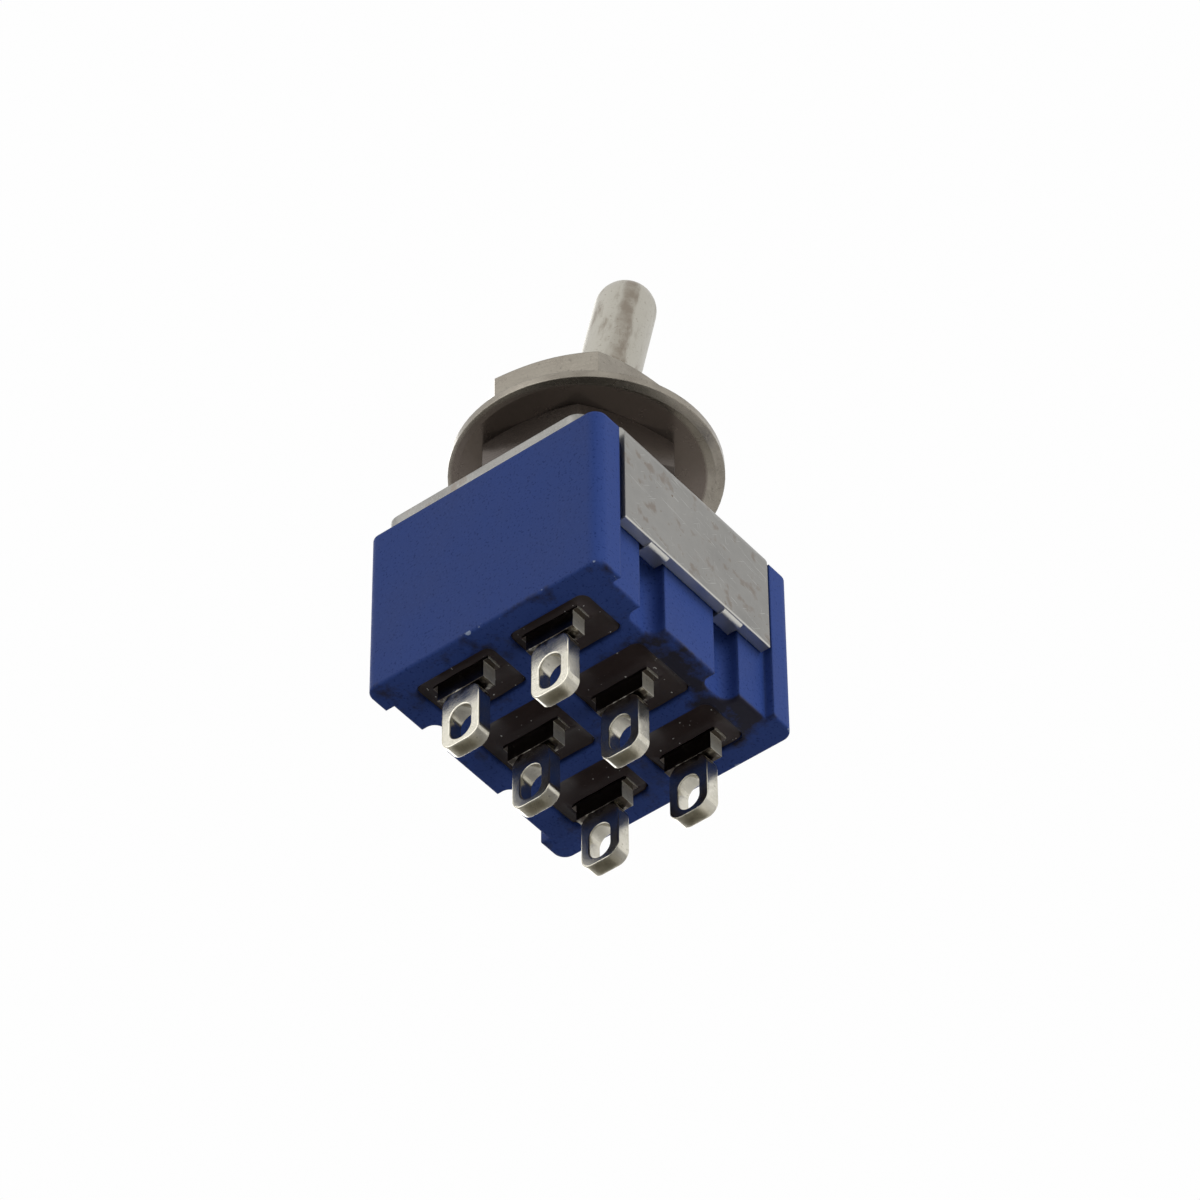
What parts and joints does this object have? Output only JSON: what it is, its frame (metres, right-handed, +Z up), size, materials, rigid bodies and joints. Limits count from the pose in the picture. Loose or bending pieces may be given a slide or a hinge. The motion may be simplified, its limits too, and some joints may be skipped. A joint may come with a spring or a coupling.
{
  "type": "toggle switch",
  "caption": "Miniature double-pole double-throw toggle switch with a bat lever, threaded bushing, panel nuts and solder lugs.",
  "frame": {"origin": "on the axis of the bushing, in the plane of the six lug tips", "axes": "+Z up the bushing towards the lever, +X the way the lever leans in the resting throw, +Y across the two poles"},
  "size_m": [0.0136, 0.013, 0.0339],
  "materials": {
    "housing_plastic": "moulded, fine satin",
    "frame_steel": "zinc plated sheet",
    "bushing_nickel": "turned and nickel plated",
    "nut_nickel": "nickel plated",
    "washer_nickel": "nickel plated",
    "lever_nickel": "turned and nickel plated, lightly worn",
    "terminal_silver": "silver plated brass, lightly tarnished",
    "potting_resin": "cast epoxy",
    "nylon": "moulded",
    "plunger_brass": "turned",
    "spring_steel": "drawn wire",
    "rocker_alloy": "pressed strip",
    "contact_silver": "coined silver"
  },
  "bodies": {
    "switch_body": {"base_housing": "housing_plastic", "frame_bracket": "frame_steel", "threaded_bushing": "bushing_nickel", "lower_nut": "nut_nickel", "keyed_washer": "washer_nickel", "lock_washer": "washer_nickel", "upper_nut": "nut_nickel", "potting_resin": "potting_resin", "front_common_terminal": "terminal_silver", "front_left_terminal": "terminal_silver", "front_left_fixed_contact": "contact_silver", "front_right_terminal": "terminal_silver", "front_right_fixed_contact": "contact_silver", "rear_common_terminal": "terminal_silver", "rear_left_terminal": "terminal_silver", "rear_left_fixed_contact": "contact_silver", "rear_right_terminal": "terminal_silver", "rear_right_fixed_contact": "contact_silver"},
    "lever": {"toggle_lever": "lever_nickel", "actuator_block": "nylon", "front_plunger_spring": "spring_steel", "rear_plunger_spring": "spring_steel"},
    "front_plunger_body": {"front_plunger": "plunger_brass"},
    "front_rocker_body": {"front_rocker": "rocker_alloy", "front_left_moving_contact": "contact_silver", "front_right_moving_contact": "contact_silver"},
    "rear_plunger_body": {"rear_plunger": "plunger_brass"},
    "rear_rocker_body": {"rear_rocker": "rocker_alloy", "rear_left_moving_contact": "contact_silver", "rear_right_moving_contact": "contact_silver"}
  },
  "joints": [
    {"name": "lever_tilt", "type": "hinge", "parent": "switch_body", "child": "lever", "pos_m": [0, 0, 0.0178], "axis": [0, 1, 0], "range_deg": [-27, 0]},
    {"name": "front_plunger_slide", "type": "slide", "parent": "lever", "child": "front_plunger_body", "axis": [0.2334, 0, 0.9724], "range_m": [0, 0.0006], "stiffness_N_per_m": 300, "springref_m": -0.002, "deforming": ["front_plunger_spring"]},
    {"name": "front_rocker_tilt", "type": "hinge", "parent": "switch_body", "child": "front_rocker_body", "pos_m": [0, -0.0024, 0.00713], "axis": [0, 1, 0], "range_deg": [0, 14]},
    {"name": "rear_plunger_slide", "type": "slide", "parent": "lever", "child": "rear_plunger_body", "axis": [0.2334, 0, 0.9724], "range_m": [0, 0.0006], "stiffness_N_per_m": 300, "springref_m": -0.002, "deforming": ["rear_plunger_spring"]},
    {"name": "rear_rocker_tilt", "type": "hinge", "parent": "switch_body", "child": "rear_rocker_body", "pos_m": [0, 0.0024, 0.00713], "axis": [0, 1, 0], "range_deg": [0, 14]}
  ],
  "couplings": [
    {"joint": "front_rocker_tilt", "follows": "lever_tilt", "ratio": -0.5185},
    {"joint": "rear_rocker_tilt", "follows": "lever_tilt", "ratio": -0.5185}
  ]
}
